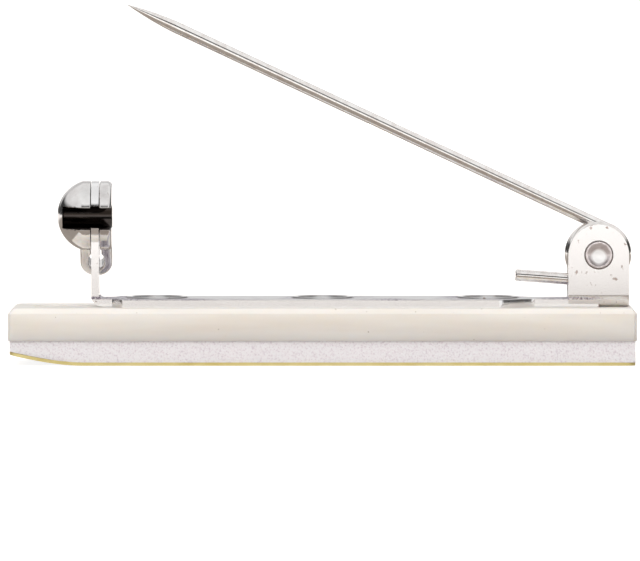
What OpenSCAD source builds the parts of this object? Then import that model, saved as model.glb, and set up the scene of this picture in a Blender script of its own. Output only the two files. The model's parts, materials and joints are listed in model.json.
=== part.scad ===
// Self-adhesive locking bar pin back, 38 mm long, shown open on its release liner.
// Frame: X runs along the bar towards the hinge, Z is up, the catch mouth faces -Y.
// The origin is the centre of the underside of the release liner.

/* [Backing bar] */
// Length of the moulded plastic bar
bar_len = 38; // [37:0.5:42]
// Width of the plastic bar
bar_w = 7.6; // [7.2:0.1:9]
// Thickness of the plastic bar
bar_t = 1.95; // [1.2:0.05:3]
// Chamfer along the upper edges of the bar
bar_chamfer = 0.3; // [0.1:0.05:0.5]
// Radius of the three small corners of the bar, seen from above
bar_corner_r = 0.25; // [0.1:0.05:0.6]
// Radius of the worn far corner at the catch end
bar_worn_r = 0.9; // [0.3:0.1:1.5]
// Diameter of the round mould mark beside the catch
mould_mark_d = 2.9; // [1:0.1:3.5]

/* [Adhesive] */
// Thickness of the foam tape
foam_t = 1.3; // [1.1:0.05:2]
// How far the foam stays inside the edge of the bar
foam_inset = 0.08; // [0.02:0.02:0.3]
// Thickness of the release liner
liner_t = 0.2; // [0.1:0.05:0.3]
// Radius of the liner's far corner at the catch end
liner_worn_r = 2.4; // [0.5:0.1:3]
// Radius of the liner's other corners
liner_corner_r = 0.6; // [0.3:0.1:1.5]
// Length over which the underside lifts at the catch end
lift_len = 4.6; // [2:0.2:8]
// Height of that lift at the very end
lift_h = 0.65; // [0.2:0.05:0.9]

/* [Steel plate] */
// Thickness of the stamped steel sheet
plate_t = 0.5; // [0.4:0.05:0.6]
// Width of the wide middle of the plate
plate_w = 5.38; // [4.8:0.1:6]
// End of the wide middle, towards the hinge
plate_x_hinge = 10.7; // [10.2:0.1:11]
// End of the wide middle, towards the catch
plate_x_catch = -12.1; // [-12.4:0.1:-11.8]
// Width of the neck that leads to the hinge
hinge_neck_w = 2.7; // [2.2:0.1:3]
// Length of the S curve between middle and hinge neck
hinge_shoulder = 2.2; // [1.5:0.1:2.6]
// Width of the neck that leads to the catch
catch_neck_w = 2.8; // [2.2:0.1:2.8]
// Length of the shoulder between middle and catch neck
catch_shoulder = 0.7; // [0.5:0.1:0.9]
// Diameter of the three mounting holes
hole_d = 3.0; // [2:0.1:3.2]
// Outer diameter of the rim pressed up round each hole
hole_rim_d = 3.7; // [3.4:0.1:4]
// Height of that rim above the sheet
hole_rim_h = 0.09; // [0.05:0.01:0.15]
// Distance between neighbouring holes
hole_pitch = 10.06; // [9:0.1:10.2]

/* [Hinge] */
// Distance from the rivet's axis to the end of the bar
hinge_inset = 2.24; // [2.2:0.02:2.6]
// Height of the rivet's axis above the plastic
hinge_h = 3.17; // [2.9:0.05:3.6]
// Radius of the round top of each ear
ear_r = 1.84; // [1.6:0.02:2]
// Outside width over both ears
ears_w = 3.18; // [3.16:0.02:3.4]
// Thickness of the folded ears
ear_t = 0.56; // [0.5:0.02:0.56]
// Diameter of the rivet's shank
rivet_d = 1.3; // [1:0.1:1.5]
// Diameter of the rivet's heads
rivet_head_d = 1.76; // [1.66:0.02:2.2]
// Height of each rivet head
rivet_head_h = 0.24; // [0.18:0.01:0.35]
// Radius of the hollow dish pressed into each head
dish_r = 2; // [1.5:0.1:3]
// Depth of that dish
dish_depth = 0.12; // [0.05:0.01:0.12]

/* [Pin wire] */
// Diameter of the spring wire
wire_d = 0.7; // [0.6:0.02:0.72]
// Mean radius of the two coil turns
coil_r = 1.64; // [1.6:0.02:1.74]
// Distance between the centres of the two turns
coil_pitch = 0.74; // [0.73:0.01:0.76]
// Straight length of the pin, from the coil to its point
stem_len = 32.35; // [32:0.05:32.4]
// Length of the tapered point
point_len = 2.8; // [1:0.1:5]
// Reach of the tail from the rivet's axis
tail_reach = 5.1; // [3:0.1:5.5]
// Slope of the tail up from the coil
tail_slope = 4.5; // [2:0.5:6]
// Elevation of the pin as shown, above the plate
open_angle = 25; // [12:0.5:60]
// Sideways sway of the pin that clears the catch
sway_angle = 5.2; // [5:0.1:5.4]

/* [Catch] */
// Place of the upright catch sheet along the bar
catch_x = -13.8; // [-14:0.05:-13.7]
// Height of the catch's axis above the plastic
catch_h = 5.5; // [5:0.1:6]
// Thickness of the upright catch sheet
catch_t = 0.46; // [0.4:0.02:0.48]
// Radius of the catch and of the lock's drum
drum_r = 2.1; // [2:0.02:2.1]
// Height of the mouth in the catch sheet and bore of the lock
mouth_h = 1.4; // [1.2:0.05:1.4]
// Width of the slot through which the pin enters the lock
slot_w = 1.3; // [1:0.05:1.3]
// Wall of the lock's sleeve round the pin
sleeve_t = 0.35; // [0.3:0.01:0.4]
// Running gap between the lock and the catch sheet
lock_gap = 0.04; // [0.03:0.01:0.05]
// Thickness of the lock's cheek on the hinge side
cheek_in_t = 0.72; // [0.5:0.02:0.8]
// Thickness of the lock's cheek under the dome
cheek_out_t = 0.5; // [0.4:0.02:0.6]
// Depth of the dome beyond that cheek
dome_depth = 1.56; // [1.5:0.02:1.8]
// Wall left at the top of the dome
dome_wall = 0.35; // [0.3:0.01:0.4]
// Reach of the thumb loop from the catch's axis
loop_reach = 4.2; // [3.8:0.1:4.4]
// Outside width of the thumb loop
loop_w = 1.94; // [1.8:0.02:1.96]
// Width of the window in the thumb loop
loop_window = 0.94; // [0.8:0.02:1]
// Narrower width of that window next to the drum
loop_throat = 0.64; // [0.6:0.02:0.7]
// Distance from the catch's axis at which the window widens
loop_waist = 2.7; // [2.4:0.1:2.9]
// Width of the strip that the thumb loop is bent from
loop_strip = 1.1; // [0.9:0.05:1.2]
// Direction of the lock's slot as shown, from +Y towards +Z
slot_angle = 184; // [182:1:190]
// Angle from the slot to the thumb loop
loop_from_slot = 120; // [120:1:135]

/* [Hidden] */
$fn = 64;

// Heights of the layers
foam_top = liner_t + foam_t;
bar_top = foam_top + bar_t;
plate_top = bar_top + plate_t;

// Places of the two axes
hinge_x = bar_len / 2 - hinge_inset;
hinge_z = bar_top + hinge_h;
catch_z = bar_top + catch_h;
loop_y = coil_pitch / 2;
coil_y = -0.05;

// Bends of the sheet
bend_in = 0.25;
bend_out = bend_in + plate_t;

// Lock
seat_r = mouth_h / 2 + sleeve_t + 0.05;
cheek_out_x = catch_x - catch_t / 2 - lock_gap - cheek_out_t;
cheek_in_x = catch_x + catch_t / 2 + lock_gap;
dome_r = (pow(drum_r, 2) + pow(dome_depth, 2)) / (2 * dome_depth);
dome_x = cheek_out_x - dome_depth;

// The tape's underside is flat, then lifts in a smooth curve at the catch end
lift_steps = 8;
function lift(s) = lift_h * (1 - cos(90 * s));
function underside(z0, x_end) = [for (i = [0:lift_steps])
    [-x_end + lift_len * (1 - i / lift_steps), z0 + lift(i / lift_steps)]];

// Half width of the plate along a shoulder that falls from one half width to another
shoulder_steps = 10;
function shoulder(x0, h0, x1, h1) = [for (i = [0:shoulder_steps])
    [x0 + (x1 - x0) * i / shoulder_steps, h0 + (h1 - h0) * (1 - cos(180 * i / shoulder_steps)) / 2]];
function reversed(points) = [for (i = [len(points) - 1:-1:0]) points[i]];
function mirrored(points) = [for (p = reversed(points)) [p[0], -p[1]]];

// Rectangle with its own radius at each corner, from +X+Y anticlockwise
module round_plan(l, w, r) {
    polygon([[l / 2, w / 2 - r[0]], [l / 2 - r[0], w / 2], [-l / 2 + r[1], w / 2], [-l / 2, w / 2 - r[1]],
             [-l / 2, -w / 2 + r[2]], [-l / 2 + r[2], -w / 2], [l / 2 - r[3], -w / 2], [l / 2, -w / 2 + r[3]]]);
    translate([l / 2 - r[0], w / 2 - r[0]]) circle(r[0]);
    translate([-l / 2 + r[1], w / 2 - r[1]]) circle(r[1]);
    translate([-l / 2 + r[2], -w / 2 + r[2]]) circle(r[2]);
    translate([l / 2 - r[3], -w / 2 + r[3]]) circle(r[3]);
}

// A side view drawn as (x, z), given its width along Y about the middle
module across(width) {
    translate([0, width / 2, 0]) rotate([90, 0, 0]) linear_extrude(width) children();
}

// A cross section drawn as (y, z), given its length along +X
module along(length) {
    rotate([90, 0, 90]) linear_extrude(length) children();
}

// Outline of a block with its upper edges chamfered
module chamfered(width, z0, z1, c) {
    polygon([[-width / 2, z0], [width / 2, z0], [width / 2, z1 - c],
             [width / 2 - c, z1], [-width / 2 + c, z1], [-width / 2, z1 - c]]);
}

module backing_bar() {
    color([0.92, 0.88, 0.83])
    difference() {
        intersection() {
            translate([0, 0, foam_top])
                linear_extrude(bar_t)
                round_plan(bar_len, bar_w, [bar_corner_r, bar_worn_r, bar_corner_r, bar_corner_r]);
            across(bar_w + 1) chamfered(bar_len, foam_top, bar_top, bar_chamfer);
            translate([-bar_len / 2, 0, 0])
                along(bar_len) chamfered(bar_w, foam_top, bar_top, bar_chamfer);
        }
        translate([-bar_len / 2 + mould_mark_d, 0, bar_top - 0.06]) cylinder(h = 1, d = mould_mark_d);
    }
}

module foam_pad() {
    foam_end = bar_len / 2 - foam_inset;
    color([0.93, 0.89, 0.92])
    across(bar_w - 2 * foam_inset)
    polygon(concat([[-foam_end, foam_top], [foam_end, foam_top], [foam_end, liner_t]],
                   underside(liner_t, foam_end)));
}

module release_liner() {
    liner_l = bar_len - 2 * foam_inset;
    color([0.86, 0.79, 0.5])
    intersection() {
        linear_extrude(foam_top)
            round_plan(liner_l, bar_w, [liner_corner_r, liner_worn_r, liner_corner_r, liner_corner_r]);
        across(bar_w + 1)
            polygon(concat([[bar_len / 2, liner_t], [bar_len / 2, 0]],
                           underside(0, liner_l / 2), reversed(underside(liner_t, liner_l / 2))));
    }
}

// Flat stamped outline of the plate
module plate_outline() {
    hinge_side = shoulder(plate_x_hinge, plate_w / 2, plate_x_hinge + hinge_shoulder, hinge_neck_w / 2);
    catch_side = shoulder(plate_x_catch - catch_shoulder, catch_neck_w / 2, plate_x_catch, plate_w / 2);
    upper = concat(catch_side, hinge_side);
    neck_end = hinge_x;
    catch_end = catch_x + catch_t / 2 + bend_in;
    polygon(concat([[catch_end, -catch_neck_w / 2], [catch_end, catch_neck_w / 2]], upper,
                   [[neck_end, hinge_neck_w / 2], [neck_end, -hinge_neck_w / 2]], mirrored(upper)));
}

// Cross section of the folded hinge: two ears joined by a floor with rounded bends
module hinge_section() {
    side = ears_w / 2;
    inner = side - ear_t;
    tall = hinge_h + ear_r;
    difference() {
        union() {
            translate([-side + bend_out, 0]) square([2 * (side - bend_out), tall]);
            translate([-side, bend_out]) square([2 * side, tall - bend_out]);
            for (s = [-1, 1]) translate([s * (side - bend_out), bend_out]) circle(bend_out);
        }
        translate([-inner + bend_in, plate_t]) square([2 * (inner - bend_in), tall]);
        translate([-inner, plate_t + bend_in]) square([2 * inner, tall]);
        for (s = [-1, 1]) translate([s * (inner - bend_in), plate_t + bend_in]) circle(bend_in);
    }
}

module hinge_ears() {
    difference() {
        intersection() {
            translate([hinge_x - ear_r, 0, bar_top]) along(2 * ear_r) hinge_section();
            across(ears_w + 1) union() {
                translate([hinge_x, hinge_z]) circle(ear_r);
                translate([hinge_x - ear_r, bar_top]) square([2 * ear_r, hinge_h]);
            }
        }
        translate([hinge_x, 0, hinge_z]) rotate([90, 0, 0])
            cylinder(h = ears_w + 1, d = rivet_d + 0.04, center = true);
    }
}

// Upright sheet with a round head, a seat for the sleeve and a mouth towards -Y
module catch_sheet() {
    translate([catch_x - catch_t / 2, 0, catch_z]) along(catch_t)
    difference() {
        union() {
            circle(drum_r);
            translate([-catch_neck_w / 2, -catch_h + plate_t + bend_in])
                square([catch_neck_w, catch_h - plate_t - bend_in]);
        }
        circle(seat_r);
        translate([-drum_r - 1, -mouth_h / 2]) square([drum_r + 1, mouth_h]);
    }
}

// Quarter bend that turns the plate up into the catch sheet
module catch_bend() {
    bend_x = catch_x + catch_t / 2 + bend_in;
    bend_z = plate_top + bend_in;
    across(catch_neck_w)
    intersection() {
        difference() {
            translate([bend_x, bend_z]) circle(bend_in + plate_t);
            translate([bend_x, bend_z]) circle(bend_in);
        }
        translate([bend_x - bend_in - catch_t, bend_z - bend_in - plate_t])
            square([bend_in + catch_t, bend_in + plate_t]);
    }
}

module pin_plate() {
    hole_x = [-hole_pitch, 0, hole_pitch];
    color([0.78, 0.76, 0.78]) {
        difference() {
            union() {
                translate([0, 0, bar_top]) linear_extrude(plate_t) plate_outline();
                for (x = hole_x) translate([x, 0, bar_top]) cylinder(h = plate_t + hole_rim_h, d = hole_rim_d);
            }
            for (x = hole_x) translate([x, 0, bar_top - 1]) cylinder(h = plate_t + 2, d = hole_d);
        }
        hinge_ears();
        catch_sheet();
        catch_bend();
    }
}

module hinge_rivet() {
    head_y = ears_w / 2 + 0.02;
    color([0.72, 0.68, 0.68])
    translate([hinge_x, 0, hinge_z])
    difference() {
        union() {
            rotate([90, 0, 0]) cylinder(h = 2 * head_y, d = rivet_d, center = true);
            for (s = [-1, 1]) translate([0, s * (head_y + rivet_head_h / 2), 0])
                rotate([90, 0, 0]) cylinder(h = rivet_head_h, d = rivet_head_d, center = true);
        }
        for (s = [-1, 1]) translate([0, s * (head_y + rivet_head_h + dish_r - dish_depth), 0])
            sphere(dish_r);
    }
}

// One closed turn of the coil about the Y axis, at height 0
module coil_turn() {
    rotate([90, 0, 0]) rotate_extrude() translate([coil_r, 0]) circle(d = wire_d);
}

module spring_tail() {
    tail_len = tail_reach / cos(tail_slope) - coil_r * tan(tail_slope);
    color([0.80, 0.78, 0.78])
    translate([hinge_x, 0, hinge_z]) rotate([0, 0, sway_angle]) translate([0, coil_y - loop_y, 0]) {
        coil_turn();
        rotate([0, tail_slope, 0]) translate([0, 0, -coil_r]) rotate([0, -90, 0])
            cylinder(h = tail_len, d = wire_d);
    }
}

// The stem leaves its turn at the top and runs to the middle of the catch
module pin_stem() {
    aim = atan((coil_y + loop_y) / (hinge_x - catch_x));
    color([0.80, 0.77, 0.76])
    translate([hinge_x, 0, hinge_z]) rotate([0, 0, sway_angle]) rotate([0, open_angle, 0])
    translate([0, coil_y + loop_y, 0]) {
        coil_turn();
        translate([0, 0, coil_r]) rotate([0, 0, aim]) rotate([0, -90, 0]) {
            cylinder(h = stem_len - point_len, d = wire_d);
            translate([0, 0, stem_len - point_len]) cylinder(h = point_len, d1 = wire_d, d2 = 0.05);
        }
    }
}

// Cross section of the lock's drum, with the slot along +Y
module drum_section(radius) {
    difference() {
        circle(radius);
        circle(mouth_h / 2);
        translate([0, -slot_w / 2]) square([drum_r + 1, slot_w]);
    }
}

// Outer cheek and dome, turned as one piece
module lock_dome() {
    turned_len = dome_depth + cheek_out_t;
    difference() {
        translate([dome_x, 0, 0]) rotate([0, 90, 0]) rotate_extrude()
            intersection() {
                square([drum_r, turned_len]);
                translate([0, dome_r]) circle(dome_r);
            }
        translate([dome_x + dome_wall, 0, 0]) rotate([0, 90, 0]) cylinder(h = turned_len, d = mouth_h);
        translate([dome_x + dome_wall, 0, -slot_w / 2]) cube([turned_len, drum_r + 1, slot_w]);
    }
}

// Strip bent into a round-ended loop that reaches out along +Y
module thumb_loop() {
    bow = loop_reach - loop_w / 2;
    start = 1.3;
    translate([catch_x, 0, -loop_strip / 2]) linear_extrude(loop_strip)
    difference() {
        union() {
            translate([-loop_w / 2, start]) square([loop_w, bow - start]);
            translate([0, bow]) circle(d = loop_w);
        }
        translate([-loop_throat / 2, 0]) square([loop_throat, bow]);
        translate([-loop_window / 2, loop_waist]) square([loop_window, bow - loop_waist]);
        translate([0, bow]) circle(d = loop_window);
    }
}

module catch_lock() {
    color([0.74, 0.73, 0.74])
    translate([0, 0, catch_z]) rotate([slot_angle, 0, 0]) {
        lock_dome();
        translate([cheek_out_x + cheek_out_t, 0, 0]) along(cheek_in_x - cheek_out_x - cheek_out_t)
            drum_section(mouth_h / 2 + sleeve_t);
        translate([cheek_in_x, 0, 0]) along(cheek_in_t) drum_section(drum_r);
        rotate([loop_from_slot, 0, 0]) thumb_loop();
    }
}

backing_bar();
foam_pad();
release_liner();
pin_plate();
hinge_rivet();
spring_tail();
pin_stem();
catch_lock();
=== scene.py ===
import json
import math

import bmesh
import bpy
from mathutils import Matrix, Vector


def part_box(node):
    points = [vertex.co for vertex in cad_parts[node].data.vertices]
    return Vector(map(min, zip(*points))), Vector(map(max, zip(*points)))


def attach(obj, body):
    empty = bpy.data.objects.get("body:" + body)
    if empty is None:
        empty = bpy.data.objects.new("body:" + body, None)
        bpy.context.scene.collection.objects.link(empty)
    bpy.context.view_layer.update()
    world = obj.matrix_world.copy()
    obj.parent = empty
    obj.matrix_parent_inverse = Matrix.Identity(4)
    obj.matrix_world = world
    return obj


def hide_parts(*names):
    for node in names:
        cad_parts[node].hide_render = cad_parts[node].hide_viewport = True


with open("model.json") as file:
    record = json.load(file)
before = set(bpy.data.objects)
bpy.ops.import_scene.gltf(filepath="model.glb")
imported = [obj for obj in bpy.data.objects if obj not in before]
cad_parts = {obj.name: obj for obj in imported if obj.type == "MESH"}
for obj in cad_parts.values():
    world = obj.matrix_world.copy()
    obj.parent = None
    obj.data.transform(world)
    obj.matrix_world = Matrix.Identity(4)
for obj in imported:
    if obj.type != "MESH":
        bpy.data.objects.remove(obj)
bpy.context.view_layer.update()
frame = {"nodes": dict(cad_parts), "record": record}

mm = 0.001
near = 0.001 * mm  # places closer than this count as the same
mostly = 0.99  # share of a direction from which something counts as lying along it


# Helpers for meshes

def pickObject(piece):
    bpy.ops.object.select_all(action="DESELECT")
    piece.select_set(True)
    bpy.context.view_layer.objects.active = piece


def newPiece(name):
    piece = bpy.context.object
    piece.name = name
    piece.data.name = name
    return piece


def applyPlace(piece):
    pickObject(piece)
    bpy.ops.object.transform_apply(location=True, rotation=True, scale=True)


def addShape(name, add, scale=(1, 1, 1), **values):
    # one of Blender's own shapes, with its place and stretch in its mesh
    bpy.ops.object.select_all(action="DESELECT")
    add(**values)
    bpy.context.object.scale = scale
    piece = newPiece(name)
    applyPlace(piece)
    return piece


def block(name, low, high):
    return addShape(name, bpy.ops.mesh.primitive_cube_add, high - low, size=1, location=(low + high) / 2)


def startEdit(piece):
    pickObject(piece)
    bpy.ops.object.mode_set(mode="EDIT")
    bpy.ops.mesh.select_all(action="DESELECT")


def endEdit():
    bpy.ops.object.mode_set(mode="OBJECT")


def pickAll():
    bpy.ops.mesh.select_all(action="SELECT")


def pick(kind, test):
    # selects vertices, edges or faces by their place
    bpy.ops.mesh.select_mode(type=kind)
    bpy.ops.mesh.select_all(action="DESELECT")
    mesh = bpy.context.object.data
    shape = bmesh.from_edit_mesh(mesh)
    parts = {"VERT": shape.verts, "EDGE": shape.edges, "FACE": shape.faces}[kind]
    for part in parts:
        if test(part):
            part.select_set(True)
    shape.select_flush_mode()
    bmesh.update_edit_mesh(mesh)


def middle(edge):
    return (edge.verts[0].co + edge.verts[1].co) / 2


def runsAlong(edge, axis):
    step = edge.verts[1].co - edge.verts[0].co
    return abs(step[axis]) > mostly * step.length


def atCorner(edge, high):
    # an upright edge at a corner of a box that is centred on the origin
    place = middle(edge)
    return runsAlong(edge, 2) and abs(abs(place.x) - high.x) < near and abs(abs(place.y) - high.y) < near


def roundCorners(values, high):
    # the far corner at the catch end is worn, and the others are only rounded a little
    pick("EDGE", lambda edge: runsAlong(edge, 2) and middle(edge).x < 0 < middle(edge).y)
    bpy.ops.mesh.bevel(offset=values["wornRound"], segments=values["wornSteps"], affect="EDGES")
    pick("EDGE", lambda edge: atCorner(edge, high))
    bpy.ops.mesh.bevel(offset=values["cornerRound"], segments=values["cornerSteps"], affect="EDGES")


def pushOut(step, share=1.0):
    # draws out what is picked, and makes its far end wider or narrower by a share
    bpy.ops.mesh.extrude_region_move(TRANSFORM_OT_translate={"value": step})
    if share != 1.0:
        shape = bmesh.from_edit_mesh(bpy.context.object.data)
        spots = [v.co for v in shape.verts if v.select]
        centre = sum(spots, Vector()) / len(spots)
        bpy.ops.transform.resize(value=(share, share, share), center_override=centre)


def faceOutward():
    pickAll()
    bpy.ops.mesh.normals_make_consistent(inside=False)


def moveVertices(piece, shift):
    # shift gives each vertex its move from its place
    for vertex in piece.data.vertices:
        vertex.co += shift(vertex.co)
    piece.data.update()


def addModifier(piece, name, kind, **values):
    pickObject(piece)
    modifier = piece.modifiers.new(name, kind)
    for key, value in values.items():
        setattr(modifier, key, value)
    bpy.ops.object.modifier_apply(modifier=name)


def combine(piece, other, operation="UNION"):
    addModifier(piece, "combine", "BOOLEAN", operation=operation, object=other, solver="EXACT")
    bpy.data.objects.remove(other)


def softenEdges(piece, width, angle, segments=2, clamp=True):
    addModifier(piece, "softEdges", "BEVEL", width=width, segments=segments, limit_method="ANGLE",
                angle_limit=math.radians(angle), harden_normals=False, use_clamp_overlap=clamp,
                miter_outer="MITER_ARC")


def smooth(piece, angle=35):
    pickObject(piece)
    bpy.ops.object.shade_smooth_by_angle(angle=math.radians(angle))


def finishPiece(piece, body, slotName, material, *nodes):
    piece.data.materials.clear()
    piece.data.materials.append(material)
    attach(piece, body)
    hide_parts(*nodes)


# Helpers for materials

def tone(value):
    # a colour, or a grey from one number
    return (*value, 1) if isinstance(value, tuple) else (value, value, value, 1)


class NodeTree:
    # short calls that add and join shader nodes
    def __init__(self, tree, coordinates):
        self.nodes = tree.nodes
        self.links = tree.links
        self.place = self.nodes.new("ShaderNodeTexCoord").outputs[coordinates]

    def feed(self, socket, value):
        if isinstance(value, bpy.types.NodeSocket):
            self.links.new(value, socket)
        else:
            socket.default_value = value

    def along(self, axis, place=None):
        node = self.nodes.new("ShaderNodeSeparateXYZ")
        self.links.new(place or self.place, node.inputs[0])
        return node.outputs[axis]

    def math(self, operation, first, second=0.0):
        node = self.nodes.new("ShaderNodeMath")
        node.operation = operation
        self.feed(node.inputs[0], first)
        self.feed(node.inputs[1], second)
        return node.outputs[0]

    def away(self, first, second):
        # distance covered by two steps at right angles
        squares = [self.math("MULTIPLY", step, step) for step in (first, second)]
        return self.math("SQRT", self.math("ADD", *squares))

    def rise(self, value, start, end, full=1.0):
        # nothing before the start, and the full amount after the end
        node = self.nodes.new("ShaderNodeMapRange")
        node.inputs["From Min"].default_value = start
        node.inputs["From Max"].default_value = end
        node.inputs["To Max"].default_value = full
        self.links.new(value, node.inputs["Value"])
        return node.outputs["Result"]

    def ramp(self, value, *stops):
        node = self.nodes.new("ShaderNodeValToRGB")
        elements = node.color_ramp.elements
        while len(elements) < len(stops):
            elements.new(0.5)
        for element, (at, colour) in zip(elements, stops):
            element.position = at
            element.color = tone(colour)
        self.links.new(value, node.inputs["Fac"])
        return node.outputs["Color"]

    def mix(self, amount, first, second):
        node = self.nodes.new("ShaderNodeMix")
        node.data_type = "RGBA"
        self.links.new(amount, node.inputs[0])
        for socket, value in ((node.inputs[6], first), (node.inputs[7], second)):
            self.feed(socket, value if isinstance(value, bpy.types.NodeSocket) else tone(value))
        return node.outputs[2]


class Surface(NodeTree):
    # a material whose patterns stay on the piece
    def __init__(self, name):
        self.material = bpy.data.materials.new(name)
        self.material.use_nodes = True
        super().__init__(self.material.node_tree, "Object")
        self.shader = self.nodes["Principled BSDF"]

    def set(self, **values):
        for key, value in values.items():
            self.feed(self.shader.inputs[key.replace("_", " ")], value)

    def stretch(self, scale):
        node = self.nodes.new("ShaderNodeMapping")
        node.inputs["Scale"].default_value = scale
        self.links.new(self.place, node.inputs["Vector"])
        return node.outputs["Vector"]

    def turned(self, origin, angle):
        # coordinates measured from an origin and turned about X
        node = self.nodes.new("ShaderNodeMapping")
        node.vector_type = "TEXTURE"
        node.inputs["Location"].default_value = origin
        node.inputs["Rotation"].default_value = (angle, 0, 0)
        self.links.new(self.place, node.inputs["Vector"])
        return node.outputs["Vector"]

    def noise(self, scale, detail, roughness, place=None):
        node = self.nodes.new("ShaderNodeTexNoise")
        node.inputs["Scale"].default_value = scale
        node.inputs["Detail"].default_value = detail
        node.inputs["Roughness"].default_value = roughness
        self.links.new(place or self.place, node.inputs["Vector"])
        return node.outputs["Fac"]

    def cells(self, scale):
        node = self.nodes.new("ShaderNodeTexVoronoi")
        node.inputs["Scale"].default_value = scale
        self.links.new(self.place, node.inputs["Vector"])
        return node.outputs["Distance"]

    def bump(self, height, strength, depth, below=None):
        node = self.nodes.new("ShaderNodeBump")
        node.inputs["Strength"].default_value = strength
        node.inputs["Distance"].default_value = depth
        self.links.new(height, node.inputs["Height"])
        if below is not None:
            self.links.new(below, node.inputs["Normal"])
        return node.outputs["Normal"]


# Places from the frame

def jointPlace(name):
    joints = frame["record"]["behaviour"]["joints"]
    return Vector(next(joint["pos_m"] for joint in joints if joint["name"] == name))


def rivetMiddle():
    low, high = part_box("hinge_rivet")
    return (low + high) / 2


# Camera

camera = {
    "imageSize": (640, 561),
    "pxPerMm": 16.56,
    "barMiddlePx": 322.5,
    "linerBottomPx": 366,
    "distance": 480 * mm,
    "elevation": 2.5,
    "sensor": 36,
    "clip": (0.01, 20),
}


def setCamera():
    width, height = camera["imageSize"]
    data = bpy.data.cameras.new("view")
    data.sensor_width = camera["sensor"]
    data.lens = camera["sensor"] * camera["distance"] / (width / camera["pxPerMm"] * mm)
    data.clip_start, data.clip_end = camera["clip"]
    eye = bpy.data.objects.new("view", data)
    bpy.context.scene.collection.objects.link(eye)
    # the aim lies on the near side of the bar, at the middle of the photograph
    aside = (width / 2 - camera["barMiddlePx"]) / camera["pxPerMm"] * mm
    above = (camera["linerBottomPx"] - height / 2) / camera["pxPerMm"] * mm
    aim = Vector((aside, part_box("backing_bar")[0].y, above))
    tilt = math.radians(camera["elevation"])
    eye.location = aim + camera["distance"] * Vector((0, -math.cos(tilt), math.sin(tilt)))
    eye.rotation_euler = (math.pi / 2 - tilt, 0, 0)
    bpy.context.scene.camera = eye
    bpy.context.scene.view_settings.view_transform = "Standard"  # whites burn out, as in a product photo


# Sky, floor and lamps

studio = {
    # height of a direction above the horizon, and brightness seen there
    "frontSky": [(0.0, 1.15), (0.2, 1.15), (0.28, 0.03), (0.5, 0.03), (0.64, 1.15), (1.0, 0.95)],
    "sideSky": [(0.0, 0.08), (0.3, 0.05), (0.44, 1.0), (0.8, 1.1), (1.0, 0.95)],
    "backSky": [(0.0, 0.1), (0.07, 0.1), (0.15, 1.0), (0.5, 0.7), (0.7, 1.1), (1.0, 0.95)],
    # the side sky passes into the front and back sky between these shares of the way to -Y and +Y
    "turnAway": (0.78, 0.92),
    "skyStrength": 0.85,
    "floorSize": 14.0,
    "floorColour": (0.34, 0.30, 0.265),
    "floorRoughness": 0.8,
    "floorReflection": 0.1,
    "floorGlow": 0.9,
    # upright steel mirrors the floor as bright, rising between these distances from the bar
    "floorShine": 0.85,
    "shineFrom": (0.05, 0.11),
    # name, place in metres, size in metres, watts
    "lamps": [
        ("keyLamp", (-0.24, -0.34, 0.40), 0.22, 0.9),
        ("topLamp", (0.10, 0.12, 0.55), 0.34, 0.3),
        ("frontLamp", (0.02, -0.60, 0.03), 0.20, 1.7),
        ("backLamp", (-0.05, 0.60, 0.06), 0.20, 0.7),
    ],
    "lampsAim": (0, 0, 8 * mm),
}


def setSky():
    # in front a white panel with a dark gap above it, at the sides dark flags, behind white on a dark foot
    world = bpy.data.worlds.new("studio")
    bpy.context.scene.world = world
    world.use_nodes = True
    s = NodeTree(world.node_tree, "Generated")
    level = s.nodes.new("ShaderNodeCombineXYZ")
    for axis in "XY":
        s.links.new(s.along(axis), level.inputs[axis])
    heading = s.nodes.new("ShaderNodeVectorMath")
    heading.operation = "NORMALIZE"
    s.links.new(level.outputs[0], heading.inputs[0])
    backward = s.along("Y", heading.outputs[0])
    height = s.along("Z")
    start, end = studio["turnAway"]
    sky = s.ramp(height, *studio["sideSky"])
    for part, way in (("frontSky", -1), ("backSky", 1)):
        sky = s.mix(s.rise(backward, way * start, way * end), sky, s.ramp(height, *studio[part]))
    background = s.nodes["Background"]
    s.feed(background.inputs["Color"], sky)
    s.feed(background.inputs["Strength"], studio["skyStrength"])


def setFloor():
    bpy.ops.object.select_all(action="DESELECT")
    bpy.ops.mesh.primitive_plane_add(size=studio["floorSize"], location=(0, 0, 0))
    floor = newPiece("floor")
    # the floor is lit from below, for the eye and for what mirrors it, as on a light table
    s = Surface("paleFloor")
    ray = s.nodes.new("ShaderNodeLightPath").outputs
    seen = s.math("MULTIPLY", ray["Is Camera Ray"], studio["floorGlow"])
    shine = s.rise(s.math("ABSOLUTE", s.along("Y")), *studio["shineFrom"], studio["floorShine"])
    mirrored = s.math("MULTIPLY", ray["Is Glossy Ray"], shine)
    s.set(Base_Color=tone(studio["floorColour"]), Roughness=studio["floorRoughness"],
          Specular_IOR_Level=studio["floorReflection"], Emission_Color=tone(1.0),
          Emission_Strength=s.math("ADD", seen, mirrored))
    floor.data.materials.append(s.material)


def setLamps():
    for name, place, size, power in studio["lamps"]:
        data = bpy.data.lights.new(name, "AREA")
        data.size = size
        data.energy = power
        lamp = bpy.data.objects.new(name, data)
        bpy.context.scene.collection.objects.link(lamp)
        lamp.location = place
        lamp.visible_glossy = False  # metal mirrors only the sky and the floor
        lamp.rotation_mode = "QUATERNION"
        lamp.rotation_quaternion = (Vector(studio["lampsAim"]) - lamp.location).to_track_quat("-Z", "Y")
    print("camera, floor and light set")


# The bar

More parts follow.
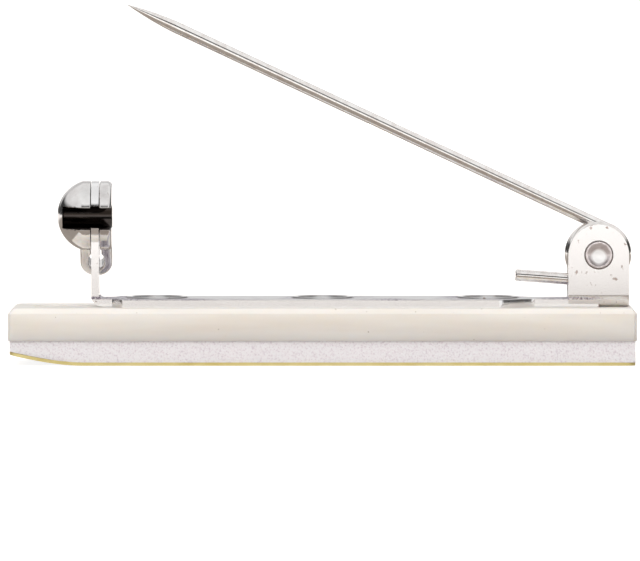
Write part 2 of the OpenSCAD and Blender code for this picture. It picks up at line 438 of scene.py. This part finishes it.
bar = {
    "cornerRound": 0.25 * mm,
    "cornerSteps": 4,
    "wornRound": 0.9 * mm,
    "wornSteps": 8,
    "chamfer": 0.3 * mm,
    "edgeSoft": 0.05 * mm,
    "edgeAngle": 20,
    "markRadius": 1.45 * mm,
    "markInset": 2.9 * mm,
    "markDepth": 0.04 * mm,
    "markSides": 64,
    # in every piece a noise has a scale, a detail and a roughness, a bump a strength and a depth,
    # and a list of pairs gives what the noise turns into at its lower and higher values
    "flowStretch": (90, 500, 900),
    "flowNoise": (1, 3, 0.55),
    "flowColours": [(0.32, (0.84, 0.77, 0.70)), (0.68, (0.90, 0.845, 0.785))],
    "speckNoise": (4200, 1, 0.5),
    "speckAmount": [(0.77, 0.0), (0.80, 0.8)],
    "speckColour": (0.42, 0.34, 0.26),
    "shineNoise": (900, 3, 0.5),
    "roughness": [(0.3, 0.3), (0.7, 0.42)],
    "milk": 0.45,
    "milkDepth": 2.2 * mm,
    "milkTint": (1.0, 0.8, 0.6),
    "refraction": 1.49,
    "waveNoise": (260, 2, 0.5),
    "waveBump": (0.2, 0.06 * mm),
    "grainNoise": (5200, 2, 0.5),
    "grainBump": (0.1, 0.01 * mm),
}


def milkyPlastic():
    s = Surface("milkyPlastic")
    cloud = s.ramp(s.noise(*bar["flowNoise"], s.stretch(bar["flowStretch"])), *bar["flowColours"])
    specks = s.ramp(s.noise(*bar["speckNoise"]), *bar["speckAmount"])
    wave = s.bump(s.noise(*bar["waveNoise"]), *bar["waveBump"])
    s.set(Base_Color=s.mix(specks, cloud, bar["speckColour"]),
          Roughness=s.ramp(s.noise(*bar["shineNoise"]), *bar["roughness"]),
          Subsurface_Weight=bar["milk"], Subsurface_Scale=bar["milkDepth"], Subsurface_Radius=bar["milkTint"],
          IOR=bar["refraction"], Normal=s.bump(s.noise(*bar["grainNoise"]), *bar["grainBump"], wave))
    return s.material


def makeBar(material):
    low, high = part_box("backing_bar")
    piece = block("plasticBar", low, high)
    startEdit(piece)
    roundCorners(bar, high)
    pick("EDGE", lambda edge: all(v.co.z > high.z - near for v in edge.verts))
    bpy.ops.mesh.bevel(offset=bar["chamfer"], segments=1, affect="EDGES")
    endEdit()
    mark = addShape("markCutter", bpy.ops.mesh.primitive_cylinder_add, vertices=bar["markSides"],
                    radius=bar["markRadius"], depth=2 * bar["markDepth"],
                    location=(low.x + bar["markInset"], 0, high.z))
    combine(piece, mark, "DIFFERENCE")
    softenEdges(piece, bar["edgeSoft"], bar["edgeAngle"])
    smooth(piece)
    finishPiece(piece, "base", "plastic_bar", material, "backing_bar")
    print("bar made")


# Foam tape

tape = {
    "liftLength": 4.6 * mm,
    "lift": 0.65 * mm,
    "cuts": (150, 30, 6),
    "smoothAngle": 50,
    "poreDepth": 0.05 * mm,
    "poreSize": 0.25 * mm,
    "poreLevel": 0.9,
    "grainNoise": (9000, 3, 0.6),
    "grainColours": [(0.34, (0.78, 0.71, 0.76)), (0.45, (0.92, 0.87, 0.90)), (0.6, (0.95, 0.92, 0.945))],
    "roughness": 0.85,
    "glow": 0.3,
    "glowDepth": 0.8 * mm,
    "glowTint": (1.0, 0.9, 0.9),
    "cellScale": 7000,
    "cellBump": (0.5, 0.03 * mm),
}


def foamTape():
    s = Surface("foamTape")
    s.set(Base_Color=s.ramp(s.noise(*tape["grainNoise"]), *tape["grainColours"]), Roughness=tape["roughness"],
          Subsurface_Weight=tape["glow"], Subsurface_Scale=tape["glowDepth"],
          Subsurface_Radius=tape["glowTint"], Normal=s.bump(s.cells(tape["cellScale"]), *tape["cellBump"]))
    return s.material


def liftAt(x, endX):
    # the underside rises in a soft curve towards the catch end
    along = min(max((endX + tape["liftLength"] - x) / tape["liftLength"], 0), 1)
    return tape["lift"] * (1 - math.cos(along * math.pi / 2))


def makeFoam(material):
    low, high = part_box("foam_pad")
    piece = block("foamTape", low, high)
    startEdit(piece)
    for axis, cuts in enumerate(tape["cuts"]):
        pick("EDGE", lambda edge: runsAlong(edge, axis))
        bpy.ops.mesh.subdivide(number_cuts=cuts)
    endEdit()
    depth = high.z - low.z
    moveVertices(piece, lambda p: Vector((0, 0, liftAt(p.x, low.x) * (high.z - p.z) / depth)))
    startEdit(piece)
    pick("VERT", lambda v: low.z + tape["poreDepth"] < v.co.z < high.z - tape["poreDepth"])
    bpy.ops.object.vertex_group_add()
    bpy.ops.object.vertex_group_assign()
    endEdit()
    piece.vertex_groups[0].name = "sides"
    pores = bpy.data.textures.new("foamPores", "CLOUDS")
    pores.noise_scale = tape["poreSize"]
    addModifier(piece, "pores", "DISPLACE", texture=pores, strength=tape["poreDepth"],
                mid_level=tape["poreLevel"], vertex_group="sides", texture_coords="LOCAL")
    smooth(piece, tape["smoothAngle"])
    finishPiece(piece, "base", "foam_tape", material, "foam_pad")
    print("foam made")


# Release liner

paper = {
    "cornerRound": 0.6 * mm,
    "cornerSteps": 5,
    "wornRound": 2.4 * mm,
    "wornSteps": 10,
    "cuts": (120, 12),
    "smoothAngle": 40,
    # the long edges run a little inside, in waves with radians per metre, a start and a share
    "inset": 0.06 * mm,
    "waveDepth": 0.045 * mm,
    "waves": [(1400, 0.0, 0.5), (3100, 1.3, 0.35), (6200, 0.0, 0.15)],
    "rimFrom": 0.85,
    "farShare": 0.4,
    "fibreStretch": (0.35, 1, 1),
    "fibreNoise": (2600, 4, 0.6),
    "fibreColours": [(0.3, (0.66, 0.53, 0.18)), (0.7, (0.78, 0.66, 0.28))],
    "waxNoise": (180, 2, 0.5),
    "waxAmount": [(0.4, 0.0), (0.7, 0.5)],
    "waxColour": (0.85, 0.75, 0.40),
    "roughness": 0.5,
    "waxCoat": 0.15,
    "waxRoughness": 0.35,
    "fibreBump": (0.35, 0.03 * mm),
}


def waxedPaper():
    s = Surface("waxedPaper")
    fibre = s.noise(*paper["fibreNoise"], s.stretch(paper["fibreStretch"]))
    wax = s.ramp(s.noise(*paper["waxNoise"]), *paper["waxAmount"])
    s.set(Base_Color=s.mix(wax, s.ramp(fibre, *paper["fibreColours"]), paper["waxColour"]),
          Roughness=paper["roughness"], Coat_Weight=paper["waxCoat"], Coat_Roughness=paper["waxRoughness"],
          Normal=s.bump(fibre, *paper["fibreBump"]))
    return s.material


def cutRows(axis, low, high, rows):
    # cuts the sheet into even rows, so that it can bend
    across = Vector([int(number == axis) for number in range(3)])
    step = (high[axis] - low[axis]) / rows
    for number in range(1, rows):
        pickAll()
        bpy.ops.mesh.bisect(plane_co=across * (low[axis] + number * step), plane_no=across, threshold=near)


def makeLiner(material):
    low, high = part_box("release_liner")
    piece = block("releaseLiner", low, Vector((high.x, high.y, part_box("foam_pad")[0].z)))
    startEdit(piece)
    roundCorners(paper, high)
    for axis, rows in enumerate(paper["cuts"]):
        cutRows(axis, low, high, rows)
    endEdit()
    halfWidth = (high.y - low.y) / 2

    def settle(p):
        # both long edges were cut a little unevenly, and the paper lifts with the foam
        rim = max(abs(p.y) / halfWidth - paper["rimFrom"], 0) / (1 - paper["rimFrom"])
        wave = sum(share * math.sin(p.x * rate + start) for rate, start, share in paper["waves"])
        inward = rim * abs(paper["inset"] + paper["waveDepth"] * wave)
        return Vector((0, inward if p.y < 0 else -paper["farShare"] * inward, liftAt(p.x, low.x)))

    moveVertices(piece, settle)
    smooth(piece, paper["smoothAngle"])
    finishPiece(piece, "base", "liner_paper", material, "release_liner")
    print("liner made")


# Steel plate with the hinge ears and the catch sheet

steel = {
    "sheet": 0.5 * mm,
    "rim": 0.09 * mm,
    "flatAngle": 0.6,
    "edgeSoft": 0.07 * mm,
    "edgeAngle": 35,
    "edgeSteps": 3,
    "holePitch": 10.06 * mm,
    "rimRadius": 1.85 * mm,
    # width and colour of a thin ring of painted shade round each hole's rim, in the crease at its foot
    "shadeRing": 0.07 * mm,
    "shadeRingColour": (0.33, 0.29, 0.30),
    "streakStretch": (8500, 3200, 6000),
    "streakNoise": (1, 4, 0.7),
    "streakBump": (0.1, 0.012 * mm),
    "patchStretch": (210, 130, 200),
    "patchNoise": (1, 3, 0.55),
    "patchAmount": [(0.45, 0.0), (0.6, 1.0)],
    "wornColours": [(0.4, (0.24, 0.20, 0.26)), (0.56, (0.82, 0.79, 0.83))],
    "wornRoughness": [(0.3, 0.5), (0.7, 0.3)],
    "stainNoise": (2600, 3, 0.6),
    "stainColours": [(0.66, (0.95, 0.94, 0.94)), (0.72, (0.50, 0.42, 0.39))],
    # stains gather in a ring round the rivet, near the rim of the ears
    "stainMiddle": 1.65 * mm,
    "stainHalf": 0.25 * mm,
    "rimStain": 0.05,
    "roughness": 0.17,
    "topRoughness": 0.34,
    "waveNoise": (300, 1, 0.5),
    "waveBump": (0.1, 0.09 * mm),
}


def fromRivet(s, below=0.0):
    # distance from the rivet's axis, or from a line a little below it
    place = rivetMiddle()
    beside = s.math("SUBTRACT", s.along("X"), place.x)
    above = s.math("SUBTRACT", s.along("Z"), place.z - below)
    return s.away(beside, above)


def rolledSteel():
    # bright plated sheet, its upper side with a cross grain where the rolls wore
    s = Surface("rolledSteel")
    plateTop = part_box("backing_bar")[1].z + steel["sheet"]
    fromTop = s.math("ABSOLUTE", s.math("SUBTRACT", s.along("Z"), plateTop + steel["rim"] / 2))
    onTop = s.math("LESS_THAN", fromTop, steel["rim"])
    fromStain = s.math("ABSOLUTE", s.math("SUBTRACT", fromRivet(s), steel["stainMiddle"]))
    gathered = s.math("MULTIPLY", s.math("LESS_THAN", fromStain, steel["stainHalf"]), steel["rimStain"])
    plated = s.ramp(s.math("ADD", s.noise(*steel["stainNoise"]), gathered), *steel["stainColours"])
    # the rim of each hole stays bright, with a thin ring of painted shade round it, in the crease at its foot
    onward = s.math("ABSOLUTE", s.along("X"))
    nearest = s.math("MINIMUM", onward, s.math("ABSOLUTE", s.math("SUBTRACT", onward, steel["holePitch"])))
    fromHole = s.away(nearest, s.along("Y"))
    pastRim = s.math("GREATER_THAN", fromHole, steel["rimRadius"])
    pastShadeRing = s.math("GREATER_THAN", fromHole, steel["rimRadius"] + steel["shadeRing"])
    # painted shade in a thin ring round each rim, on the upper side
    shadeRing = s.math("MULTIPLY", onTop, s.math("SUBTRACT", pastRim, pastShadeRing))
    streak = s.noise(*steel["streakNoise"], s.stretch(steel["streakStretch"]))
    patches = s.ramp(s.noise(*steel["patchNoise"], s.stretch(steel["patchStretch"])), *steel["patchAmount"])
    worn = s.math("MULTIPLY", s.math("MULTIPLY", patches, onTop), pastRim)
    sheet = s.mix(worn, plated, s.ramp(streak, *steel["wornColours"]))
    sheen = s.mix(onTop, steel["roughness"], steel["topRoughness"])
    wave = s.bump(s.noise(*steel["waveNoise"]), *steel["waveBump"])
    s.set(Base_Color=s.mix(shadeRing, sheet, steel["shadeRingColour"]), Metallic=1.0,
          Roughness=s.mix(worn, sheen, s.ramp(streak, *steel["wornRoughness"])),
          Normal=s.bump(streak, *steel["streakBump"], wave))
    return s.material


def copyOfNode(node, name, flatAngle):
    # CAD meshes are loose triangles, so a copy is merged and its flat faces joined
    pickObject(frame["nodes"][node])
    bpy.ops.object.duplicate()
    piece = newPiece(name)
    world = piece.matrix_world.copy()
    piece.parent = None
    piece.matrix_world = world
    for key in list(piece.keys()):
        del piece[key]
    piece.data.materials.clear()
    if piece.data.has_custom_normals:
        bpy.ops.mesh.customdata_custom_splitnormals_clear()
    startEdit(piece)
    pickAll()
    bpy.ops.mesh.remove_doubles(threshold=0.5 * near)
    bpy.ops.mesh.dissolve_limited(angle_limit=math.radians(flatAngle))
    endEdit()
    return piece


def makePlate(material):
    piece = copyOfNode("pin_plate", "steelPlate", steel["flatAngle"])
    softenEdges(piece, steel["edgeSoft"], steel["edgeAngle"], steel["edgeSteps"])
    smooth(piece)
    # large flat faces keep one normal, so that they reflect like real sheet
    addModifier(piece, "flatFaces", "WEIGHTED_NORMAL", weight=100, keep_sharp=True)
    finishPiece(piece, "base", "stamped_steel", material, "pin_plate")
    print("plate made")


# Round shapes along X for the rivet and the lock

roundSides = 128


def wheel(name, low, high, radius):
    return addShape(name, bpy.ops.mesh.primitive_cylinder_add, vertices=roundSides, radius=radius,
                    depth=high - low, location=((low + high) / 2, 0, 0), rotation=(0, math.pi / 2, 0))


def ball(name, x, radius, rings):
    return addShape(name, bpy.ops.mesh.primitive_uv_sphere_add, segments=roundSides, ring_count=rings,
                    radius=radius, location=(x, 0, 0), rotation=(0, math.pi / 2, 0))


def roundRim(x, width, segments):
    # bevels the rim of a flat round face
    pick("EDGE", lambda edge: all(abs(v.co.x - x) < near for v in edge.verts))
    bpy.ops.mesh.bevel(offset=width, segments=segments, affect="EDGES")


# Rivet

rivet = {
    "shank": 1.3 * mm,
    "head": 1.76 * mm,
    "headHeight": 0.24 * mm,
    "rimRound": 0.07 * mm,
    "rimSteps": 4,
    "dishRadius": 2 * mm,
    "dishDepth": 0.12 * mm,
    "dishRings": 96,
    "smoothAngle": 20,
    "pitNoise": (3000, 3, 0.6),
    "pitColours": [(0.35, (0.66, 0.59, 0.59)), (0.65, (0.82, 0.76, 0.76))],
    "pitBump": (0.1, 0.01 * mm),
    # a dark ring of painted shade and painted dark reflection covers the rounded rim of each head
    "rimShadeFrom": 0.8 * mm,
    "rimShadeColour": (0.20, 0.17, 0.16),
    # a painted highlight in each dish, a little below its middle, white and barely metallic
    "highlightBelow": 0.10 * mm,
    "highlightRadius": 0.36 * mm,
    "highlightSoft": 0.16 * mm,
    "highlightColour": (0.98, 0.97, 0.97),
    "highlightMetal": 0.1,
    "metal": 0.7,
    "roughness": 0.2,
}


def satinRivet():
    # the rounded rim of each head is painted dark, as painted shade where it meets the ear and as a painted
    # dark reflection, and a painted highlight sits in its dish
    s = Surface("satinRivet")
    pits = s.noise(*rivet["pitNoise"])
    # painted shade and painted dark reflection on the rim of the head
    rimShade = s.math("GREATER_THAN", fromRivet(s), rivet["rimShadeFrom"])
    # a painted highlight in the dish, a little below its middle
    highlightEnd = rivet["highlightRadius"] + rivet["highlightSoft"]
    pastHighlight = s.rise(fromRivet(s, rivet["highlightBelow"]), rivet["highlightRadius"], highlightEnd)
    face = s.mix(pastHighlight, rivet["highlightColour"], s.ramp(pits, *rivet["pitColours"]))
    s.set(Base_Color=s.mix(rimShade, face, rivet["rimShadeColour"]), Roughness=rivet["roughness"],
          Metallic=s.mix(pastHighlight, rivet["highlightMetal"], rivet["metal"]),
          Normal=s.bump(pits, *rivet["pitBump"]))
    return s.material


def rivetHead():
    # a disc on the outer side of the ear, with a shallow round dish pressed into it
    low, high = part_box("hinge_rivet")
    outer = (high.y - low.y) / 2
    piece = wheel("rivetHead", outer - rivet["headHeight"], outer, rivet["head"] / 2)
    startEdit(piece)
    roundRim(outer, rivet["rimRound"], rivet["rimSteps"])
    endEdit()
    dishMiddle = outer + rivet["dishRadius"] - rivet["dishDepth"]
    combine(piece, ball("rivetDish", dishMiddle, rivet["dishRadius"], rivet["dishRings"]), "DIFFERENCE")
    return piece


def makeRivet(material):
    piece = rivetHead()
    other = rivetHead()
    other.matrix_world = Matrix.Rotation(math.pi, 4, "Z")
    applyPlace(other)
    low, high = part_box("hinge_rivet")
    shankEnd = (high.y - low.y) / 2 - rivet["headHeight"] / 2
    shank = wheel("rivetShank", -shankEnd, shankEnd, rivet["shank"] / 2)
    for part in (other, shank):
        combine(piece, part)
    piece.name = "hingeRivet"
    piece.matrix_world = Matrix.Translation(rivetMiddle()) @ Matrix.Rotation(math.pi / 2, 4, "Z")
    applyPlace(piece)
    smooth(piece, rivet["smoothAngle"])
    finishPiece(piece, "base", "rivet_steel", material, "hinge_rivet")
    print("rivet made")


# Rotating lock of the catch

lock = {
    "slotAngle": 184,
    "slotWidth": 1.3 * mm,
    "slotSoft": 0.05 * mm,
    "slotEdgeAngle": 40,
    "bore": 1.4 * mm,
    "drumRadius": 2.1 * mm,
    "domeDepth": 1.56 * mm,
    "domeWall": 0.35 * mm,
    "domeRings": 64,
    "cheekOut": 0.5 * mm,
    "cheekIn": 0.72 * mm,
    "cheekGap": 0.27 * mm,
    "cheekRound": 0.26 * mm,
    "cheekSteps": 6,
    "edgeSoft": 0.09 * mm,
    "edgeSteps": 3,
    "sleeveWall": 0.35 * mm,
    "loopTurn": 120,
    "loopReach": 4.2 * mm,
    "loopWidth": 1.94 * mm,
    "loopWindow": 0.94 * mm,
    "loopThroat": 0.64 * mm,
    "loopWaist": 2.7 * mm,
    "waistSlope": 0.12 * mm,
    "loopStrip": 1.1 * mm,
    "loopStart": 1.3 * mm,
    "loopRound": 0.17 * mm,
    "loopRoundSteps": 5,
    "bowSteps": 40,
    "beyond": 1 * mm,
    "hazeNoise": (900, 3, 0.55),
    "hazeColours": [(0.35, (0.72, 0.69, 0.68)), (0.65, (0.86, 0.85, 0.84))],
    "roughness": [(0.3, 0.16), (0.7, 0.09)],
    "waveNoise": (700, 2, 0.5),
    "waveBump": (0.12, 0.03 * mm),
    # colour of the painted shade inside the slot and the bore
    "insideShadeColour": (0.07, 0.06, 0.055),
    "skin": 0.02 * mm,
}


def polishedNickel():
    # the inside of the slot and the bore is painted dark, as painted shade
    s = Surface("polishedNickel")
    haze = s.noise(*lock["hazeNoise"])
    home = s.turned(jointPlace("lock_turn"), math.radians(lock["slotAngle"]))
    fromSlot = s.math("ABSOLUTE", s.along("Z", home))
    aside = s.along("Y", home)
    inSlot = s.math("MULTIPLY", s.math("LESS_THAN", fromSlot, lock["slotWidth"] / 2 + lock["skin"]),
                    s.math("GREATER_THAN", aside, 0.0))
    inBore = s.math("LESS_THAN", s.away(fromSlot, aside), lock["bore"] / 2 + lock["skin"])
    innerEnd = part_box("catch_lock")[0].x + lock["domeWall"] - lock["skin"]
    pastDome = s.math("GREATER_THAN", s.along("X"), innerEnd)
    # painted shade fills the slot and the bore past the dome's wall
    inside = s.math("MULTIPLY", s.math("MAXIMUM", inSlot, inBore), pastDome)
    s.set(Base_Color=s.mix(inside, s.ramp(haze, *lock["hazeColours"]), lock["insideShadeColour"]), Metallic=1.0,
          Roughness=s.ramp(haze, *lock["roughness"]),
          Normal=s.bump(s.noise(*lock["waveNoise"]), *lock["waveBump"]))
    return s.material


def domedCheek():
    # a ball is cut flat, and the cut face is drawn out to the thickness of the cheek
    depth = lock["domeDepth"]
    radius = (lock["drumRadius"] ** 2 + depth ** 2) / (2 * depth)
    flat = -lock["cheekGap"] - lock["cheekOut"]
    piece = ball("lockDome", flat - depth + radius, radius, lock["domeRings"])
    startEdit(piece)
    pickAll()
    bpy.ops.mesh.bisect(plane_co=(flat, 0, 0), plane_no=(1, 0, 0), use_fill=True, clear_outer=True)
    pick("FACE", lambda face: face.normal.x > mostly and len(face.verts) == roundSides)
    pushOut((lock["cheekOut"], 0, 0))
    roundRim(-lock["cheekGap"], lock["edgeSoft"], lock["edgeSteps"])
    endEdit()
    return piece


def thumbLoop():
    # a rounded strip runs up one leg, round the bow and down the other leg
    outer = lock["loopWidth"] / 2
    leg = (lock["loopWidth"] - lock["loopWindow"]) / 2
    bow = lock["loopReach"] - outer
    waistLow = lock["loopWaist"] - lock["waistSlope"]
    waistHigh = lock["loopWaist"] + lock["waistSlope"]
    up = [lock["loopStart"], waistLow, waistHigh, bow]
    down = up[::-1]
    piece = addShape("lockLoop", bpy.ops.mesh.primitive_plane_add, (leg, lock["loopStrip"], 1), size=1,
                     location=(outer - leg / 2, lock["loopStart"], 0), rotation=(math.pi / 2, 0, 0))
    startEdit(piece)
    pickAll()
    bpy.ops.mesh.bevel(offset=lock["loopRound"], segments=lock["loopRoundSteps"], affect="VERTICES")
    pickAll()
    bpy.ops.mesh.delete(type="ONLY_FACE")
    pickAll()
    for here, there in zip(up, up[1:]):
        pushOut((0, there - here, 0))
    bpy.ops.mesh.spin(steps=lock["bowSteps"], angle=-math.pi, center=(0, bow, 0), axis=(0, 0, 1))
    for here, there in zip(down, down[1:]):
        pushOut((0, there - here, 0))
    pickAll()
    bpy.ops.mesh.fill_holes(sides=0)
    bpy.ops.mesh.normals_make_consistent(inside=False)
    endEdit()
    narrower = (lock["loopWindow"] - lock["loopThroat"]) / 2

    def narrow(p):
        # below its waist the window is narrower, and the outer sides stay
        share = min(max((waistHigh - p.y) / (waistHigh - waistLow), 0), 1)
        return Vector((-math.copysign(narrower * share * (outer - abs(p.x)) / leg, p.x), 0, 0))

    moveVertices(piece, narrow)
    piece.matrix_world = Matrix.Rotation(math.radians(lock["loopTurn"]), 4, "X")
    applyPlace(piece)
    return piece


def makeLock(material):
    gap = lock["cheekGap"]
    cheekEnd = gap + lock["cheekIn"]
    piece = domedCheek()
    piece.name = "lockCatch"
    cheek = wheel("lockCheek", gap, cheekEnd, lock["drumRadius"])
    startEdit(cheek)
    roundRim(gap, lock["edgeSoft"], lock["edgeSteps"])
    roundRim(cheekEnd, lock["cheekRound"], lock["cheekSteps"])
    endEdit()
    sleeveEnd = gap + lock["edgeSoft"]
    sleeve = wheel("lockSleeve", -sleeveEnd, sleeveEnd, lock["bore"] / 2 + lock["sleeveWall"])
    for other in (cheek, sleeve, thumbLoop()):
        combine(piece, other)
    innerEnd = -gap - lock["cheekOut"] - lock["domeDepth"] + lock["domeWall"]
    outerEnd = cheekEnd + lock["beyond"]
    hollow = wheel("lockBore", innerEnd, outerEnd, lock["bore"] / 2)
    slot = block("lockSlot", Vector((innerEnd, 0, -lock["slotWidth"] / 2)),
                 Vector((outerEnd, lock["drumRadius"] + lock["beyond"], lock["slotWidth"] / 2)))
    for other in (hollow, slot):
        combine(piece, other, "DIFFERENCE")
    turn = Matrix.Rotation(math.radians(lock["slotAngle"]), 4, "X")
    piece.matrix_world = Matrix.Translation(jointPlace("lock_turn")) @ turn
    applyPlace(piece)
    softenEdges(piece, lock["slotSoft"], lock["slotEdgeAngle"], clamp=False)
    smooth(piece)
    finishPiece(piece, "lock", "lock_nickel", material, "catch_lock")
    print("lock made")


# The spring wire, one half for the tail and one for the pin

wire = {
    "radius": 0.35 * mm,
    "coilRadius": 1.64 * mm,
    "turnPitch": 0.74 * mm,
    "coilMiddle": -0.05 * mm,
    "sway": 5.2,
    "open": 25.0,
    "stemLength": 32.35 * mm,
    "stemCuts": 12,
    "catchDistance": 30.56 * mm,
    "tailReach": 5.1 * mm,
    "tailSlope": 4.5,
    "tailCuts": 6,
    "cutRound": 0.1 * mm,
    "cutSteps": 4,
    "ringSteps": 96,
    "sides": 28,
    "smoothAngle": 40,
    # distance from the tip in millimetres, and share of the full thickness
    "point": [(3.1, 1.0), (2.4, 0.9), (1.7, 0.74), (1.0, 0.5), (0.45, 0.27), (0.0, 0.05)],
    "scratchNoise": (2600, 3, 0.6),
    "scratchColours": [(0.35, (0.84, 0.79, 0.76)), (0.6, (0.95, 0.93, 0.91))],
    "scratchBump": (0.04, 0.01 * mm),
    "roughness": [(0.3, 0.16), (0.7, 0.1)],
}


def drawnWire():
    s = Surface("drawnWire")
    scratch = s.noise(*wire["scratchNoise"])
    s.set(Base_Color=s.ramp(scratch, *wire["scratchColours"]), Metallic=1.0,
          Roughness=s.ramp(scratch, *wire["roughness"]), Normal=s.bump(scratch, *wire["scratchBump"]))
    return s.material


def startSection(name, height):
    # one round section of wire, facing along X
    return addShape(name, bpy.ops.mesh.primitive_circle_add, vertices=wire["sides"], radius=wire["radius"],
                    fill_type="NGON", location=(0, 0, height), rotation=(0, math.pi / 2, 0))


def coilTurn(name):
    piece = startSection(name, wire["coilRadius"])
    startEdit(piece)
    pickAll()
    bpy.ops.mesh.delete(type="ONLY_FACE")
    pickAll()
    bpy.ops.mesh.spin(steps=wire["ringSteps"], angle=2 * math.pi, center=(0, 0, 0), axis=(0, 1, 0))
    pickAll()
    bpy.ops.mesh.remove_doubles(threshold=near)
    faceOutward()
    endEdit()
    return piece


def drawRod(length, cuts, aim=0.0):
    # draws the wire out in even steps, leaning sideways by the aim
    for _ in range(cuts):
        pushOut((-length / cuts, aim * length / cuts, 0))


def roundOff():
    # rounds the rim of a cut end by a quarter circle in a few steps
    radius, edge = wire["radius"], wire["cutRound"]
    angles = [math.pi / 2 * number / wire["cutSteps"] for number in range(wire["cutSteps"] + 1)]
    for before, after in zip(angles, angles[1:]):
        full = radius - edge * (1 - math.cos(before))
        onward = radius - edge * (1 - math.cos(after))
        pushOut((-edge * (math.sin(after) - math.sin(before)), 0, 0), onward / full)


def placeWire(piece, raised, sideways):
    turn = Matrix.Rotation(math.radians(wire["sway"]), 4, "Z") @ Matrix.Rotation(math.radians(raised), 4, "Y")
    piece.matrix_world = Matrix.Translation(rivetMiddle()) @ turn @ Matrix.Translation((0, sideways, 0))
    applyPlace(piece)


def makeTail(material):
    sideways = wire["coilMiddle"] - wire["turnPitch"] / 2
    piece = coilTurn("tailWire")
    rod = startSection("tailRod", -wire["coilRadius"])
    slope = math.radians(wire["tailSlope"])
    length = wire["tailReach"] / math.cos(slope) - wire["coilRadius"] * math.tan(slope)
    startEdit(rod)
    pickAll()
    drawRod(length - wire["cutRound"], wire["tailCuts"])
    roundOff()
    faceOutward()
    endEdit()
    rod.matrix_world = Matrix.Rotation(slope, 4, "Y")
    applyPlace(rod)
    combine(piece, rod)
    placeWire(piece, 0, sideways)
    smooth(piece, wire["smoothAngle"])
    finishPiece(piece, "spring", "spring_wire", material, "spring_tail")
    print("tail made")


def makePin(material):
    sideways = wire["coilMiddle"] + wire["turnPitch"] / 2
    piece = coilTurn("pinWire")
    rod = startSection("stemRod", wire["coilRadius"])
    aim = -sideways / wire["catchDistance"]  # the point leans to the middle of the catch
    point = wire["point"]
    startEdit(rod)
    pickAll()
    drawRod(wire["stemLength"] - point[0][0] * mm, wire["stemCuts"], aim)
    for (fromTip, full), (nextFromTip, nextFull) in zip(point, point[1:]):
        step = (fromTip - nextFromTip) * mm
        pushOut((-step, aim * step, 0), nextFull / full)
    faceOutward()
    endEdit()
    combine(piece, rod)
    placeWire(piece, wire["open"], sideways)
    smooth(piece, wire["smoothAngle"])
    finishPiece(piece, "pin", "spring_wire", material, "pin_stem")
    print("pin made")


setCamera()
setSky()
setFloor()
setLamps()
makeBar(milkyPlastic())
makeFoam(foamTape())
makeLiner(waxedPaper())
makePlate(rolledSteel())
makeRivet(satinRivet())
makeLock(polishedNickel())
wireMaterial = drawnWire()
makeTail(wireMaterial)
makePin(wireMaterial)
